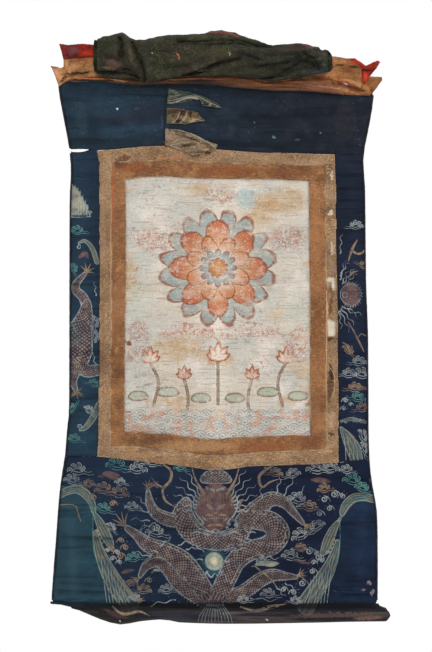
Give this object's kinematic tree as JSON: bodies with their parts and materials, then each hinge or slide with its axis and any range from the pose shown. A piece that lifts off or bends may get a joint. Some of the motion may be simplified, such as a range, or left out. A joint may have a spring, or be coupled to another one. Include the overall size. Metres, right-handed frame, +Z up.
{
  "type": "thangka scroll painting",
  "caption": "Hanging scroll painting: a faded canvas in two worn cloth borders on blue silk panels, with a rolled hem below and its dark cover gathered over the top.",
  "frame": {"origin": "middle of the top edge, in the plane that the hanging hangs in", "axes": "+Z up along the hanging, +X to the right as it is seen from the front, -Y out of the front"},
  "size_m": [0.9769, 0.0966, 1.722],
  "materials": {
    "upper_silk": "worn dark blue silk",
    "pattern_silk": "blue patterned silk, faded",
    "outer_band": "worn gold-tan brocade",
    "inner_band": "worn rust-brown silk",
    "canvas": "painted cotton, cracked and faded",
    "binding": "dark edge binding",
    "heading": "plain tan cotton, soiled",
    "lip": "brown silk, rolled",
    "red": "red cotton, stained",
    "cover": "dark green figured silk",
    "wave_scrap": "grey-green figured silk",
    "tan_scrap": "tan figured silk, frayed"
  },
  "bodies": {
    "root": {"top_panel_left": "upper_silk", "top_panel_right": "upper_silk", "side_strip_left": "pattern_silk", "side_strip_right": "pattern_silk", "bottom_panel": "pattern_silk", "outer_band_top": "outer_band", "outer_band_bottom": "outer_band", "outer_band_left": "outer_band", "outer_band_right": "outer_band", "inner_band_top": "inner_band", "inner_band_bottom": "inner_band", "inner_band_left": "inner_band", "inner_band_right": "inner_band", "painting_canvas": "canvas", "binding_left_upper": "binding", "binding_left_lower": "binding", "binding_right": "binding", "heading_cloth": "heading", "heading_roll": "lip", "red_cloth": "red", "cover_bundle": "cover", "patch_upper": "wave_scrap", "patch_middle": "tan_scrap", "patch_lower": "tan_scrap"}
  },
  "joints": []
}
